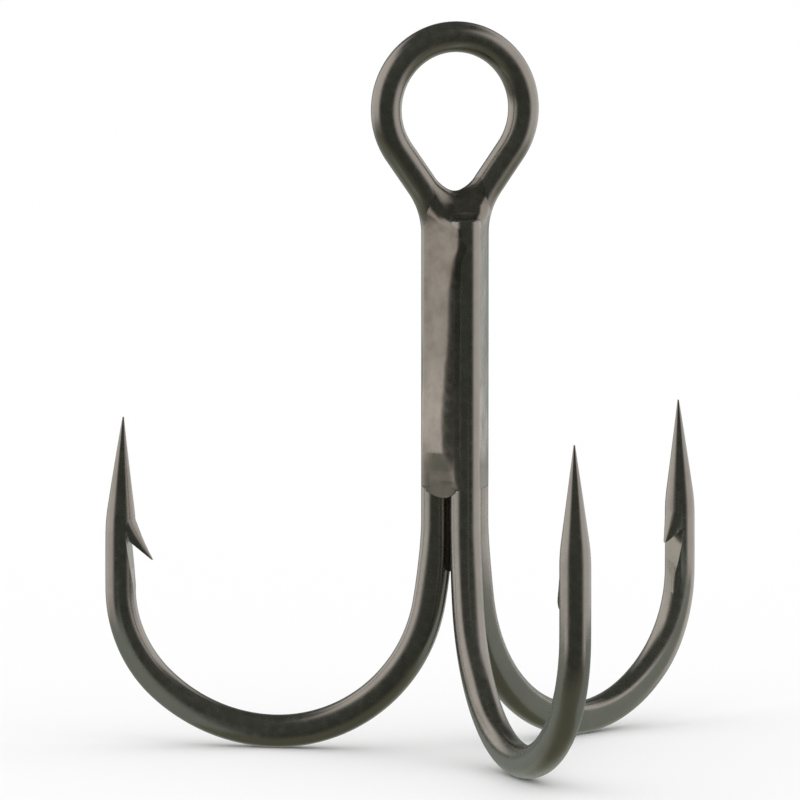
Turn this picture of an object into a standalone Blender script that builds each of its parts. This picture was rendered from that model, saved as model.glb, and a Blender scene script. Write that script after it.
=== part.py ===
"""A treble fishing hook, made the way the real one is: two bent wires brazed together.

One wire is the eyed double hook, which runs from one point down round its bend, up the shank,
round the eye, down the shank again and round to the second point.  The other wire is the single
hook, laid against the double's two shank legs with its top end cut off square below the eye.
Braze fills the three grooves between the wires and the V at the neck of the eye.

The origin is the centre of the eye's round part.  +Z runs up the shank, the eye lies in the XZ
plane, and the single hook points to -Y.  Dimensions are in millimetres until the meshes are built.
"""

import math

import bmesh
import bpy
from mathutils import Vector

MM = 0.001

# The wire
WIRE_RADIUS = 0.80
WIRE_SIDES = 16

# The eye and the neck under it
EYE_RADIUS = 3.76
NECK_ANGLE = 35.5
NECK_FILLET_RADIUS = 4.4
NECK_FILLET_STEPS = 4
NECK_LINE_STEPS = 2
EYE_STEPS = 36

# The shank: each wire's centre lies this far from the shank's axis
BUNDLE_RADIUS = 1.165
SHANK_AXIS_Y = -0.5 * BUNDLE_RADIUS
SINGLE_TOP_Z = -5.65
TWIST_TOP_Z = -8.0
TWIST_LENGTH = 10.0

# The hooks, all three bent on the same former.  Heights are above the bend's lowest centreline.
BEND_Z = -32.72
FLARE_RADIUS = 25.6
BEND_RADIUS = 8.40
BEND_ANGLE = 79.9
HEEL_RADIUS = 9.03
HEEL_ANGLE = 42.1
SHOULDER_RADIUS = 6.72
SHOULDER_ANGLE = 47.7
LEG_RADIUS = 205.0
DOUBLE_TIP_HEIGHT = 16.39
SINGLE_TIP_HEIGHT = 16.92
FORGED_DEPTH = 0.853
FORGED_SQUARENESS = 2.3

# The ground point, measured back from the tip
TIP_RADIUS = 0.04
POINT_SLOPE = 0.139
POINT_BLEND = 1.41

# The barb: a sliver of the wire's surface, cut free from below with a chisel and bent out
BARB_ROOT = 5.3
BARB_END = 7.5
BARB_ROOT_HALF_WIDTH = 0.60
BARB_END_HALF_WIDTH = 0.20
SINGLE_BARB_END_HALF_WIDTH = 0.45
BARB_FLOOR = 0.1
NOTCH_DISTANCE = 6.36
NOTCH_DEPTH = 0.38
CHISEL_ANGLE = 48.0
CHISEL_REACH = 1.8
CHISEL_HALF_WIDTH = 1.3
RAMP_LENGTH = 2.9

# Each barb was cut by its own stroke: how far it is lifted, and how much further from the tip it is
LEFT_BARB_LIFT = 1.0
RIGHT_BARB_LIFT = 0.65
SINGLE_BARB_LIFT = 1.0
LEFT_BARB_SHIFT = 0.0
RIGHT_BARB_SHIFT = 0.5
SINGLE_BARB_SHIFT = 0.9

# The braze.  Solids that touch on the real hook keep this clearance here.
CLEARANCE = 0.03
FACE_EDGE_ANGLE = 66.0
FACE_CROWN = 0.04
LEFT_BRAZE_END_Z = -20.17
RIGHT_BRAZE_END_Z = -19.82
REAR_BRAZE_END_Z = -19.97
BRAZE_SHOULDER_LENGTH = 0.35
BRAZE_END_LENGTH = 1.5
WEB_APEX_Z = -4.20
WEB_ARC_RADIUS = 1.24
WEB_FOOT_HALF_WIDTH = 1.2
WEB_HORN_HALF_WIDTH = 1.9
WEB_HALF_THICKNESS = 0.58

# Azimuths of the hooks about the shank, from +X towards +Y
RIGHT_AZIMUTH = 30.0
LEFT_AZIMUTH = 150.0
SINGLE_AZIMUTH = 270.0


def clear_scene():
    for obj in list(bpy.data.objects):
        bpy.data.objects.remove(obj, do_unlink=True)


def metal(name, colour, roughness):
    material = bpy.data.materials.new(name)
    material.use_nodes = True
    shader = material.node_tree.nodes["Principled BSDF"]
    shader.inputs["Base Color"].default_value = (*colour, 1.0)
    shader.inputs["Metallic"].default_value = 1.0
    shader.inputs["Roughness"].default_value = roughness
    return material


def new_object(name, mesh_data, material=None):
    """Turns a bmesh in millimetres into an object in metres, faces pointing out."""
    bmesh.ops.scale(mesh_data, vec=(MM, MM, MM), verts=mesh_data.verts)
    bmesh.ops.recalc_face_normals(mesh_data, faces=mesh_data.faces)
    mesh = bpy.data.meshes.new(name)
    mesh_data.to_mesh(mesh)
    mesh_data.free()
    mesh.shade_smooth()
    mesh.set_sharp_from_angle(angle=math.radians(35))
    obj = bpy.data.objects.new(name, mesh)
    bpy.context.scene.collection.objects.link(obj)
    if material:
        mesh.materials.append(material)
    return obj


def make_helper(obj):
    """Marks an object that only shapes another one."""
    obj.hide_render = True
    obj.display_type = "WIRE"
    return obj


def add_boolean(obj, helper, operation):
    modifier = obj.modifiers.new(f"{operation.lower()}_{helper.name}", "BOOLEAN")
    modifier.operation = operation
    modifier.solver = "EXACT"
    modifier.object = helper


def polar(azimuth, radius=1.0):
    angle = math.radians(azimuth)
    return Vector((radius * math.cos(angle), radius * math.sin(angle), 0.0))


# ---- Centrelines ----------------------------------------------------------------------------


def trace(start, heading, segments):
    """Follows lines and arcs in a plane and returns a station (a, b, heading in radians) at each step.

    A segment is (length, turn in degrees, number of steps); a line has a turn of 0.
    """
    a, b = start
    angle = math.radians(heading)
    stations = [(a, b, angle)]
    for length, turn, steps in segments:
        step = length / steps
        step_turn = math.radians(turn) / steps
        chord = step
        if step_turn:
            chord = step * math.sin(step_turn / 2) / (step_turn / 2)
        for _ in range(steps):
            a += chord * math.cos(angle + step_turn / 2)
            b += chord * math.sin(angle + step_turn / 2)
            angle += step_turn
            stations.append((a, b, angle))
    return stations


def arc(radius, turn, steps):
    return (radius * math.radians(abs(turn)), turn, steps)


def line(length, steps=1):
    return (length, 0.0, steps)


def flare_top_height():
    """Height at which the shank's straight part ends and the flare into the bend begins."""
    bend = math.radians(BEND_ANGLE)
    return FLARE_RADIUS * math.cos(bend) + BEND_RADIUS * (1 - math.cos(bend))


def leg_start_height():
    """Height at which the shoulder arc ends and the point's almost straight leg begins."""
    heel = math.radians(HEEL_ANGLE)
    shoulder = math.radians(HEEL_ANGLE + SHOULDER_ANGLE)
    return HEEL_RADIUS * (1 - math.cos(heel)) + SHOULDER_RADIUS * (math.cos(heel) - math.cos(shoulder))


def leg_turn(tip_height):
    """Degrees through which the gently curved leg turns before it reaches the tip's height."""
    start = math.radians(HEEL_ANGLE + SHOULDER_ANGLE)
    rise = tip_height - leg_start_height()
    return math.degrees(math.acos(math.cos(start) - rise / LEG_RADIUS) - start)


def hook_outline(top_height, tip_height):
    """Stations (distance from the shank's axis, height, heading) from the shank's top to the tip."""
    return trace(
        (BUNDLE_RADIUS, top_height),
        -90.0,
        [
            line(top_height - flare_top_height(), 6),
            arc(FLARE_RADIUS, 90.0 - BEND_ANGLE, 4),
            arc(BEND_RADIUS, BEND_ANGLE, 11),
            arc(HEEL_RADIUS, HEEL_ANGLE, 6),
            arc(SHOULDER_RADIUS, SHOULDER_ANGLE, 7),
            arc(LEG_RADIUS, leg_turn(tip_height), 16),
        ],
    )


def lengths_back_from_end(stations):
    """Distance of each station from the last one, along the centreline."""
    distances = [0.0]
    for (a0, b0, _), (a1, b1, _) in zip(reversed(stations[:-1]), reversed(stations[1:])):
        distances.append(distances[-1] + math.hypot(a1 - a0, b1 - b0))
    return list(reversed(distances))


# ---- Wire sections --------------------------------------------------------------------------


def point_radius(distance):
    """Radius of the ground point at a distance from its tip: a cone that rounds into the wire."""
    cone_radius = TIP_RADIUS + POINT_SLOPE * distance
    cone_end_radius = WIRE_RADIUS - POINT_SLOPE * POINT_BLEND / 2
    cone_end = (cone_end_radius - TIP_RADIUS) / POINT_SLOPE
    if distance <= cone_end:
        return cone_radius
    left = max(0.0, cone_end + POINT_BLEND - distance)
    return WIRE_RADIUS - POINT_SLOPE * left * left / (2 * POINT_BLEND)


def smooth_step(value, low, high):
    t = min(1.0, max(0.0, (value - low) / (high - low)))
    return t * t * (3 - 2 * t)


def forging(height, distance):
    """How far the wire is forged, from 0 on the shank and the point to 1 round the bend."""
    shank_side = 1.0 - smooth_step(height, 0.7 * flare_top_height(), flare_top_height())
    point_side = smooth_step(distance, NOTCH_DISTANCE + RAMP_LENGTH, NOTCH_DISTANCE + 3 * RAMP_LENGTH)
    return min(shank_side, point_side)


def section_point(angle, radius, forged):
    """A point of the wire's section: (in the hook's plane, across it).  Forging flattens its sides."""
    exponent = 2.0 + (FORGED_SQUARENESS - 2.0) * forged
    depth = radius + (FORGED_DEPTH - WIRE_RADIUS) * forged
    c = math.cos(angle)
    s = math.sin(angle)
    size = (abs(c) ** exponent + abs(s) ** exponent) ** (-1.0 / exponent)
    return depth * c * size, radius * s * size


def hook_rings(azimuth, tip_height, top_z, side_twist):
    """Rings (centre, in-plane vector, across vector, radius, forging) from the shank's top to the tip.

    side_twist turns the section by that many degrees at the shank's top, so that it meets the eye's.
    """
    stations = hook_outline(top_z - BEND_Z, tip_height)
    axis = Vector((0.0, SHANK_AXIS_Y, BEND_Z))
    rings = []
    for (distance_out, height, heading), back in zip(stations, lengths_back_from_end(stations)):
        outward = polar(azimuth)
        centre = axis + outward * distance_out + Vector((0.0, 0.0, height))
        turn = side_twist * smooth_step(centre.z, TWIST_TOP_Z - TWIST_LENGTH, TWIST_TOP_Z)
        in_plane = polar(azimuth + turn) * -math.sin(heading) + Vector((0.0, 0.0, math.cos(heading)))
        across = polar(azimuth + 90.0 + turn)
        forged = forging(height, back)
        rings.append((centre, in_plane.normalized(), across, point_radius(back), forged))
    return rings


def eye_rings():
    """Rings from the right leg's shank top, up the neck, round the eye and down to the left leg."""
    shank_x = BUNDLE_RADIUS * math.cos(math.radians(RIGHT_AZIMUTH))
    neck = math.radians(NECK_ANGLE)
    tangent_x = EYE_RADIUS * math.cos(neck)
    tangent_z = -EYE_RADIUS * math.sin(neck)
    corner_length = (tangent_x - shank_x) / math.sin(neck)
    corner_z = tangent_z - corner_length * math.cos(neck)
    fillet_tangent = NECK_FILLET_RADIUS * math.tan(neck / 2)
    top_turn = 180.0 + 2 * NECK_ANGLE
    stations = trace(
        (shank_x, corner_z - fillet_tangent),
        90.0,
        [
            arc(NECK_FILLET_RADIUS, -NECK_ANGLE, NECK_FILLET_STEPS),
            line(corner_length - fillet_tangent, NECK_LINE_STEPS),
            arc(EYE_RADIUS, top_turn, EYE_STEPS),
            line(corner_length - fillet_tangent, NECK_LINE_STEPS),
            arc(NECK_FILLET_RADIUS, -NECK_ANGLE, NECK_FILLET_STEPS),
        ],
    )
    rings = []
    for x, z, heading in stations:
        in_plane = Vector((-math.sin(heading), 0.0, math.cos(heading)))
        rings.append((Vector((x, 0.0, z)), in_plane, Vector((0.0, 1.0, 0.0)), WIRE_RADIUS, 0.0))
    return rings


def neck_bottom_z():
    return eye_rings()[0][0].z


def sweep_rings(rings):
    """A closed tube through the rings, capped at both ends."""
    mesh = bmesh.new()
    loops = []
    for centre, in_plane, across, radius, forged in rings:
        loop = []
        for i in range(WIRE_SIDES):
            u, v = section_point(2 * math.pi * i / WIRE_SIDES, radius, forged)
            loop.append(mesh.verts.new(centre + in_plane * u + across * v))
        loops.append(loop)
    for first, second in zip(loops, loops[1:]):
        for i in range(WIRE_SIDES):
            j = (i + 1) % WIRE_SIDES
            mesh.faces.new((first[i], first[j], second[j], second[i]))
    mesh.faces.new(loops[0])
    mesh.faces.new(list(reversed(loops[-1])))
    return mesh


# ---- Barbs ----------------------------------------------------------------------------------


def leg_place(azimuth, tip_height, distance, inward, across):
    """A place by the point's leg: distance back from the tip, inward from the centreline, and across."""
    turn = leg_turn(tip_height)
    length = LEG_RADIUS * math.radians(turn)
    outline = hook_outline(flare_top_height() + 1.0, tip_height)
    tip_r, tip_h, tip_heading = outline[-1]
    heading = tip_heading - math.radians(turn) * distance / length
    middle = (heading + tip_heading) / 2
    r = tip_r - distance * math.cos(middle) - inward * math.sin(heading)
    h = tip_h - distance * math.sin(middle) + inward * math.cos(heading)
    place = Vector((0.0, SHANK_AXIS_Y, BEND_Z + h))
    return place + polar(azimuth, r) + polar(azimuth + 90.0, across)


def barb_sliver(name, azimuth, tip_height, full_lift, shift, end_half_width):
    """The pried-up sliver, before its underside is cut: the wire's own surface lifted off its leg.

    It rises ever more steeply, and its root starts just under the surface.
    """
    rows = 7
    columns = 6
    first_slope = 0.7
    root_depth = 0.03
    mesh = bmesh.new()
    top = []
    floor = []
    for i in range(rows):
        along = i / (rows - 1)
        distance = BARB_ROOT + shift + (BARB_END - BARB_ROOT) * along
        half_width = BARB_ROOT_HALF_WIDTH + (end_half_width - BARB_ROOT_HALF_WIDTH) * along
        lift = full_lift * (first_slope * along + (1 - first_slope) * along**2) - root_depth
        radius = point_radius(distance - shift)
        row = []
        for j in range(columns):
            across = half_width * (2 * j / (columns - 1) - 1)
            surface = math.sqrt(radius**2 - across**2)
            row.append(mesh.verts.new(leg_place(azimuth, tip_height, distance, surface + lift, across)))
        top.append(row)
        sides = [
            leg_place(azimuth, tip_height, distance, BARB_FLOOR, side * half_width) for side in (-1, 1)
        ]
        floor.append([mesh.verts.new(place) for place in sides])
    for i in range(rows - 1):
        for j in range(columns - 1):
            mesh.faces.new((top[i][j], top[i][j + 1], top[i + 1][j + 1], top[i + 1][j]))
        mesh.faces.new((top[i][0], top[i + 1][0], floor[i + 1][0], floor[i][0]))
        mesh.faces.new((top[i][-1], floor[i][1], floor[i + 1][1], top[i + 1][-1]))
        mesh.faces.new((floor[i][0], floor[i + 1][0], floor[i + 1][1], floor[i][1]))
    mesh.faces.new([floor[0][0], floor[0][1]] + list(reversed(top[0])))
    mesh.faces.new([floor[-1][1], floor[-1][0]] + top[-1])
    bmesh.ops.triangulate(mesh, faces=mesh.faces)
    return make_helper(new_object(name, mesh))


def chisel_wedge(name, azimuth, tip_height, shift):
    """What the chisel takes out: between the barb's underside and the long ramp below it."""
    notch = NOTCH_DISTANCE + shift
    notch_inward = WIRE_RADIUS - NOTCH_DEPTH
    past_surface = 1.2
    ramp_end = notch + RAMP_LENGTH * past_surface
    underside_end = notch + CHISEL_REACH / math.tan(math.radians(CHISEL_ANGLE))
    outline = [
        (notch, notch_inward),
        (ramp_end, notch_inward + NOTCH_DEPTH * past_surface),
        (ramp_end, notch_inward + CHISEL_REACH),
        (underside_end, notch_inward + CHISEL_REACH),
    ]
    mesh = bmesh.new()
    sides = [
        [
            mesh.verts.new(leg_place(azimuth, tip_height, distance, inward, side * CHISEL_HALF_WIDTH))
            for distance, inward in outline
        ]
        for side in (-1, 1)
    ]
    mesh.faces.new(sides[0])
    mesh.faces.new(list(reversed(sides[1])))
    for i in range(len(outline)):
        j = (i + 1) % len(outline)
        mesh.faces.new((sides[0][i], sides[1][i], sides[1][j], sides[0][j]))
    return make_helper(new_object(name, mesh))


def cut_barb(wire, name, azimuth, tip_height, lift, shift, end_half_width):
    sliver = barb_sliver(f"{name}_sliver", azimuth, tip_height, lift, shift, end_half_width)
    add_boolean(wire, sliver, "UNION")
    add_boolean(wire, chisel_wedge(f"{name}_chisel", azimuth, tip_height, shift), "DIFFERENCE")


# ---- The wires ------------------------------------------------------------------------------


def make_eyed_double_hook(material):
    top_z = neck_bottom_z()
    right = hook_rings(RIGHT_AZIMUTH, DOUBLE_TIP_HEIGHT, top_z, -RIGHT_AZIMUTH)
    left = hook_rings(LEFT_AZIMUTH, DOUBLE_TIP_HEIGHT, top_z, 180.0 - LEFT_AZIMUTH)
    turned_right = [(c, -u, v, radius, forged) for c, u, v, radius, forged in reversed(right[1:])]
    turned_left = [(c, -u, -v, radius, forged) for c, u, v, radius, forged in left[1:]]
    rings = turned_right + eye_rings() + turned_left
    hook = new_object("eyed_double_hook", sweep_rings(rings), material)
    sizes = (RIGHT_BARB_LIFT, RIGHT_BARB_SHIFT, BARB_END_HALF_WIDTH)
    cut_barb(hook, "right_barb", RIGHT_AZIMUTH, DOUBLE_TIP_HEIGHT, *sizes)
    sizes = (LEFT_BARB_LIFT, LEFT_BARB_SHIFT, BARB_END_HALF_WIDTH)
    cut_barb(hook, "left_barb", LEFT_AZIMUTH, DOUBLE_TIP_HEIGHT, *sizes)
    return hook


def make_single_hook(material):
    rings = hook_rings(SINGLE_AZIMUTH, SINGLE_TIP_HEIGHT, SINGLE_TOP_Z, 0.0)
    hook = new_object("single_hook", sweep_rings(rings), material)
    sizes = (SINGLE_BARB_LIFT, SINGLE_BARB_SHIFT, SINGLE_BARB_END_HALF_WIDTH)
    cut_barb(hook, "single_barb", SINGLE_AZIMUTH, SINGLE_TIP_HEIGHT, *sizes)
    return hook


# ---- The braze ------------------------------------------------------------------------------


def leg_centre(azimuth, z):
    """Centre of a shank wire at a height, from the shank's axis; the double's legs part at the neck."""
    centre = polar(azimuth, BUNDLE_RADIUS)
    rise = z - neck_bottom_z()
    if azimuth != SINGLE_AZIMUTH and rise > 0:
        spread = NECK_FILLET_RADIUS - math.sqrt(NECK_FILLET_RADIUS**2 - rise**2)
        centre.x += math.copysign(spread, centre.x)
    return centre


def groove_section(first_azimuth, second_azimuth, z, edge_angle, crown):
    """Outline of the braze between two wires, from the shank's axis out to a face between the wires.

    Beside each wire it follows an arc, CLEARANCE off the wire, from the axis to edge_angle.
    """
    arc_points = 8
    wedge_half_angle = math.radians(60.0)
    first = leg_centre(first_azimuth, z)
    second = leg_centre(second_azimuth, z)
    along = (second - first).normalized()
    outward = Vector((along.y, -along.x, 0.0))
    half_gap = CLEARANCE / 2
    apex = (first + second).normalized() * (half_gap / math.sin(wedge_half_angle))
    radius = WIRE_RADIUS + CLEARANCE
    start = math.atan2((-first).dot(outward), (-first).dot(along)) + math.asin(half_gap / radius)
    end = math.radians(edge_angle)
    angles = [start + (end - start) * i / (arc_points - 1) for i in range(arc_points)]
    points = [apex]
    for angle in angles:
        points.append(first + along * (radius * math.cos(angle)) + outward * (radius * math.sin(angle)))
    middle = (first + second) / 2 + outward * (radius * math.sin(end) + crown)
    points.append(middle)
    for angle in reversed(angles):
        points.append(second - along * (radius * math.cos(angle)) + outward * (radius * math.sin(angle)))
    return [Vector((p.x, p.y + SHANK_AXIS_Y, z)) for p in points]


def make_groove_braze(name, first_azimuth, second_azimuth, end_z, material):
    """Braze along one groove, with a rounded shoulder at the top and a rounded blob at its lower end."""
    top = SINGLE_TOP_Z - CLEARANCE
    # Height, how many degrees the face's edges lie deeper between the wires, and the share of the crown
    heights = [
        (top, 22.0, 0.0),
        (top - BRAZE_SHOULDER_LENGTH, 5.0, 0.5),
        (neck_bottom_z(), 0.0, 1.0),
        ((top + end_z) / 2, 0.0, 1.0),
        (end_z + BRAZE_END_LENGTH, 0.0, 1.0),
        (end_z + 0.45 * BRAZE_END_LENGTH, 6.0, 1.0),
        (end_z + 0.12 * BRAZE_END_LENGTH, 22.0, 0.5),
        (end_z, 45.0, 0.0),
    ]
    mesh = bmesh.new()
    loops = []
    for z, edge_drop, crown_share in heights:
        edge_angle = FACE_EDGE_ANGLE - edge_drop
        section = groove_section(first_azimuth, second_azimuth, z, edge_angle, FACE_CROWN * crown_share)
        loops.append([mesh.verts.new(p) for p in section])
    count = len(loops[0])
    for upper, lower in zip(loops, loops[1:]):
        for i in range(count):
            j = (i + 1) % count
            mesh.faces.new((upper[i], upper[j], lower[j], lower[i]))
    mesh.faces.new(loops[0])
    mesh.faces.new(list(reversed(loops[-1])))
    bmesh.ops.triangulate(mesh, faces=mesh.faces)
    return new_object(name, mesh, material)


def neck_leg_space(name, rings):
    """A leg of the neck thickened by the clearance and run on downwards past the web's foot."""
    thick = [(centre, u, v, WIRE_RADIUS + CLEARANCE, 0.0) for centre, u, v, _, _ in rings]
    foot = min(thick, key=lambda ring: ring[0].z)
    below = (foot[0] - Vector((0.0, 0.0, 2 * WIRE_RADIUS)), *foot[1:])
    if foot is thick[0]:
        thick.insert(0, below)
    else:
        thick.append(below)
    return make_helper(new_object(name, sweep_rings(thick)))


def make_neck_web(material):
    """Braze in the V at the foot of the eye, hollowed on top and cut to fit between the legs."""
    arc_steps = 10
    arc_z = WEB_APEX_Z + WEB_ARC_RADIUS
    foot_z = SINGLE_TOP_Z + CLEARANCE
    half_angle = math.radians(90.0 - NECK_ANGLE)
    horn_z = arc_z - WEB_ARC_RADIUS * math.cos(half_angle)
    outline = [
        (-WEB_FOOT_HALF_WIDTH, foot_z),
        (WEB_FOOT_HALF_WIDTH, foot_z),
        (WEB_HORN_HALF_WIDTH, horn_z),
    ]
    for i in range(arc_steps + 1):
        angle = half_angle * (1 - 2 * i / arc_steps)
        outline.append((WEB_ARC_RADIUS * math.sin(angle), arc_z - WEB_ARC_RADIUS * math.cos(angle)))
    outline.append((-WEB_HORN_HALF_WIDTH, horn_z))
    mesh = bmesh.new()
    front = [mesh.verts.new((x, -WEB_HALF_THICKNESS, z)) for x, z in outline]
    back = [mesh.verts.new((x, WEB_HALF_THICKNESS, z)) for x, z in outline]
    mesh.faces.new(front)
    mesh.faces.new(list(reversed(back)))
    for i in range(len(outline)):
        j = (i + 1) % len(outline)
        mesh.faces.new((front[i], back[i], back[j], front[j]))
    web = new_object("braze_neck_web", mesh, material)
    rings = eye_rings()
    eye_part = EYE_STEPS // 6
    leg_count = 1 + NECK_FILLET_STEPS + NECK_LINE_STEPS + eye_part
    add_boolean(web, neck_leg_space("right_leg_space", rings[:leg_count]), "DIFFERENCE")
    add_boolean(web, neck_leg_space("left_leg_space", rings[-leg_count:]), "DIFFERENCE")
    return web


def main():
    clear_scene()
    make_eyed_double_hook(metal("double_hook_black_nickel", (0.20, 0.19, 0.18), 0.22))
    make_single_hook(metal("single_hook_black_nickel", (0.20, 0.19, 0.18), 0.22))
    make_groove_braze(
        "braze_left_groove",
        LEFT_AZIMUTH,
        SINGLE_AZIMUTH,
        LEFT_BRAZE_END_Z,
        metal("left_braze_metal", (0.27, 0.24, 0.21), 0.45),
    )
    make_groove_braze(
        "braze_right_groove",
        SINGLE_AZIMUTH,
        RIGHT_AZIMUTH,
        RIGHT_BRAZE_END_Z,
        metal("right_braze_metal", (0.27, 0.24, 0.21), 0.45),
    )
    make_groove_braze(
        "braze_rear_groove",
        RIGHT_AZIMUTH,
        LEFT_AZIMUTH,
        REAR_BRAZE_END_Z,
        metal("rear_braze_metal", (0.27, 0.24, 0.21), 0.45),
    )
    make_neck_web(metal("neck_braze_metal", (0.27, 0.24, 0.21), 0.45))


main()
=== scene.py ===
"""The looks of the treble hook: fine wire, barb and braze meshes, metals, light, floor and camera.

Lengths are in millimetres until a mesh is built, and every place is in the frame's own axes: the
origin is the eye's centre, +Z runs up the shank and the eye lies in the XZ plane.
"""

import math

import bmesh
import bpy
import numpy as np
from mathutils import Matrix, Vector


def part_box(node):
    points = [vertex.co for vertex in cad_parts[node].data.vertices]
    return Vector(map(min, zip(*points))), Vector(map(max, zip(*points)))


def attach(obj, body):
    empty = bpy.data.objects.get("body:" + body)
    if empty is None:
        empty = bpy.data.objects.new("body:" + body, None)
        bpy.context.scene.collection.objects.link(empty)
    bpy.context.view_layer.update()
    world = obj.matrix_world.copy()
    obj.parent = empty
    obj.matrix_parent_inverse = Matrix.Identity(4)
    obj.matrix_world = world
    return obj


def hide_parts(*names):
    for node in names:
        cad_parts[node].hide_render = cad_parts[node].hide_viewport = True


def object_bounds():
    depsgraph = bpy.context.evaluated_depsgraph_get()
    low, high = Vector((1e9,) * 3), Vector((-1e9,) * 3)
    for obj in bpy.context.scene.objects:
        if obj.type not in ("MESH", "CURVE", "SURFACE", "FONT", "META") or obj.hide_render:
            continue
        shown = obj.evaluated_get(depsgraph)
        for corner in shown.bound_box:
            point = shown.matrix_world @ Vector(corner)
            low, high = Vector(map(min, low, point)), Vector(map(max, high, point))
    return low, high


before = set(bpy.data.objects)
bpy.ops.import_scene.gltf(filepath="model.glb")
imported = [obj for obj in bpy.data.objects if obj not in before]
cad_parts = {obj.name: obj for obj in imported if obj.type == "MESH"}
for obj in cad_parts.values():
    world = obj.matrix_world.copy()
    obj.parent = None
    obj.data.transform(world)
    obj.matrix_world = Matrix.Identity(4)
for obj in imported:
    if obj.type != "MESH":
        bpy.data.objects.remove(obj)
cad_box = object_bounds()

MM = 0.001

# ---- Sizes that the wires share with the CAD model ----
#
# The top and the bottom of the single hook come from the frame.  The other sizes repeat the CAD
# model's, because the nodes' boxes don't tell them.
WIRE_RADIUS = 0.80
EYE_RADIUS = 3.76
NECK_ANGLE = 35.5
NECK_FILLET_RADIUS = 4.4
BUNDLE_RADIUS = 1.165
SHANK_AXIS_Y = -0.5 * BUNDLE_RADIUS
TWIST_TOP_Z = -8.0
TWIST_LENGTH = 10.0
SINGLE_TOP_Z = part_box("single_hook")[1].z / MM
FORGED_DEPTH = 0.853
FORGED_SQUARENESS = 2.3
BEND_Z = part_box("single_hook")[0].z / MM + FORGED_DEPTH
FLARE_RADIUS = 25.6
BEND_RADIUS = 8.40
BEND_ANGLE = 79.9
HEEL_RADIUS = 9.03
HEEL_ANGLE = 42.1
SHOULDER_RADIUS = 6.72
SHOULDER_ANGLE = 47.7
LEG_RADIUS = 205.0
DOUBLE_TIP_HEIGHT = 16.39
SINGLE_TIP_HEIGHT = 16.92
TIP_RADIUS = 0.04
POINT_SLOPE = 0.139
POINT_BLEND = 1.41
BARB_ROOT = 5.3
BARB_END = 7.5
BARB_END_HALF_WIDTH = 0.20
BARB_FLOOR = 0.1
NOTCH_DISTANCE = 6.36
NOTCH_DEPTH = 0.38
CHISEL_ANGLE = 48.0
CHISEL_REACH = 1.8
CHISEL_HALF_WIDTH = 1.3
RAMP_LENGTH = 2.9
LEFT_BARB_LIFT = 1.0
RIGHT_BARB_LIFT = 0.65
SINGLE_BARB_LIFT = 1.0
LEFT_BARB_SHIFT = 0.0
RIGHT_BARB_SHIFT = 0.5
SINGLE_BARB_SHIFT = 0.9
RIGHT_AZIMUTH = 30.0
LEFT_AZIMUTH = 150.0
SINGLE_AZIMUTH = 270.0

# ---- Sizes of the wires that are the fine meshes' own ----
SINGLE_BARB_END_HALF_WIDTH = 0.60
BARB_TAPER_POWER = 1.5
CUT_TOP_BEVEL = 0.06

# ---- Fineness of the meshes ----
WIRE_SIDES = 48
SHANK_STEPS = 40
FLARE_STEPS = 10
BEND_STEPS = 52
HEEL_STEPS = 28
SHOULDER_STEPS = 30
LEG_STEPS = 80
EYE_STEPS = 130
NECK_STEPS = 14
NECK_LINE_STEPS = 12
BARB_ROWS = 25
BARB_COLUMNS = 21
BRAZE_CELL = 0.055
WIRE_SMOOTH_ANGLE = 30.0
BRAZE_SMOOTH_ANGLE = 50.0

# ---- The camera: it looks from a little left of the front and slightly from above ----
VIEW_AZIMUTH = -18.4
VIEW_ELEVATION = 5.275
VIEW_LENS = 353.9
VIEW_DISTANCE = 409.0
AIM_SIDEWAYS = -3.04
AIM_Z = -15.11


def polar(azimuth, radius=1.0):
    angle = math.radians(azimuth)
    return Vector((radius * math.cos(angle), radius * math.sin(angle), 0.0))


def smooth_step(value, low, high):
    t = min(1.0, max(0.0, (value - low) / (high - low)))
    return t * t * (3 - 2 * t)


# ---- Centrelines ----------------------------------------------------------------------------


def trace(start, heading, segments):
    """Follows lines and arcs in a plane; a segment is (length, turn in degrees, number of steps)."""
    a, b = start
    angle = math.radians(heading)
    stations = [(a, b, angle)]
    for length, turn, steps in segments:
        step = length / steps
        step_turn = math.radians(turn) / steps
        chord = step
        if step_turn:
            chord = step * math.sin(step_turn / 2) / (step_turn / 2)
        for _ in range(steps):
            a += chord * math.cos(angle + step_turn / 2)
            b += chord * math.sin(angle + step_turn / 2)
            angle += step_turn
            stations.append((a, b, angle))
    return stations


def arc(radius, turn, steps):
    return (radius * math.radians(abs(turn)), turn, steps)


def flare_top_height():
    bend = math.radians(BEND_ANGLE)
    return FLARE_RADIUS * math.cos(bend) + BEND_RADIUS * (1 - math.cos(bend))


def leg_turn(tip_height):
    """Degrees through which the gently curved leg turns before it reaches the tip's height."""
    heel = math.radians(HEEL_ANGLE)
    start = math.radians(HEEL_ANGLE + SHOULDER_ANGLE)
    leg_start = HEEL_RADIUS * (1 - math.cos(heel)) + SHOULDER_RADIUS * (math.cos(heel) - math.cos(start))
    return math.degrees(math.acos(math.cos(start) - (tip_height - leg_start) / LEG_RADIUS) - start)


def hook_outline(top_height, tip_height):
    """Stations (distance from the shank's axis, height over the bend, heading), shank top to tip."""
    shank_length = top_height - flare_top_height()
    return trace(
        (BUNDLE_RADIUS, top_height),
        -90.0,
        [
            (shank_length, 0.0, SHANK_STEPS),
            arc(FLARE_RADIUS, 90.0 - BEND_ANGLE, FLARE_STEPS),
            arc(BEND_RADIUS, BEND_ANGLE, BEND_STEPS),
            arc(HEEL_RADIUS, HEEL_ANGLE, HEEL_STEPS),
            arc(SHOULDER_RADIUS, SHOULDER_ANGLE, SHOULDER_STEPS),
            arc(LEG_RADIUS, leg_turn(tip_height), LEG_STEPS),
        ],
    )


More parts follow.
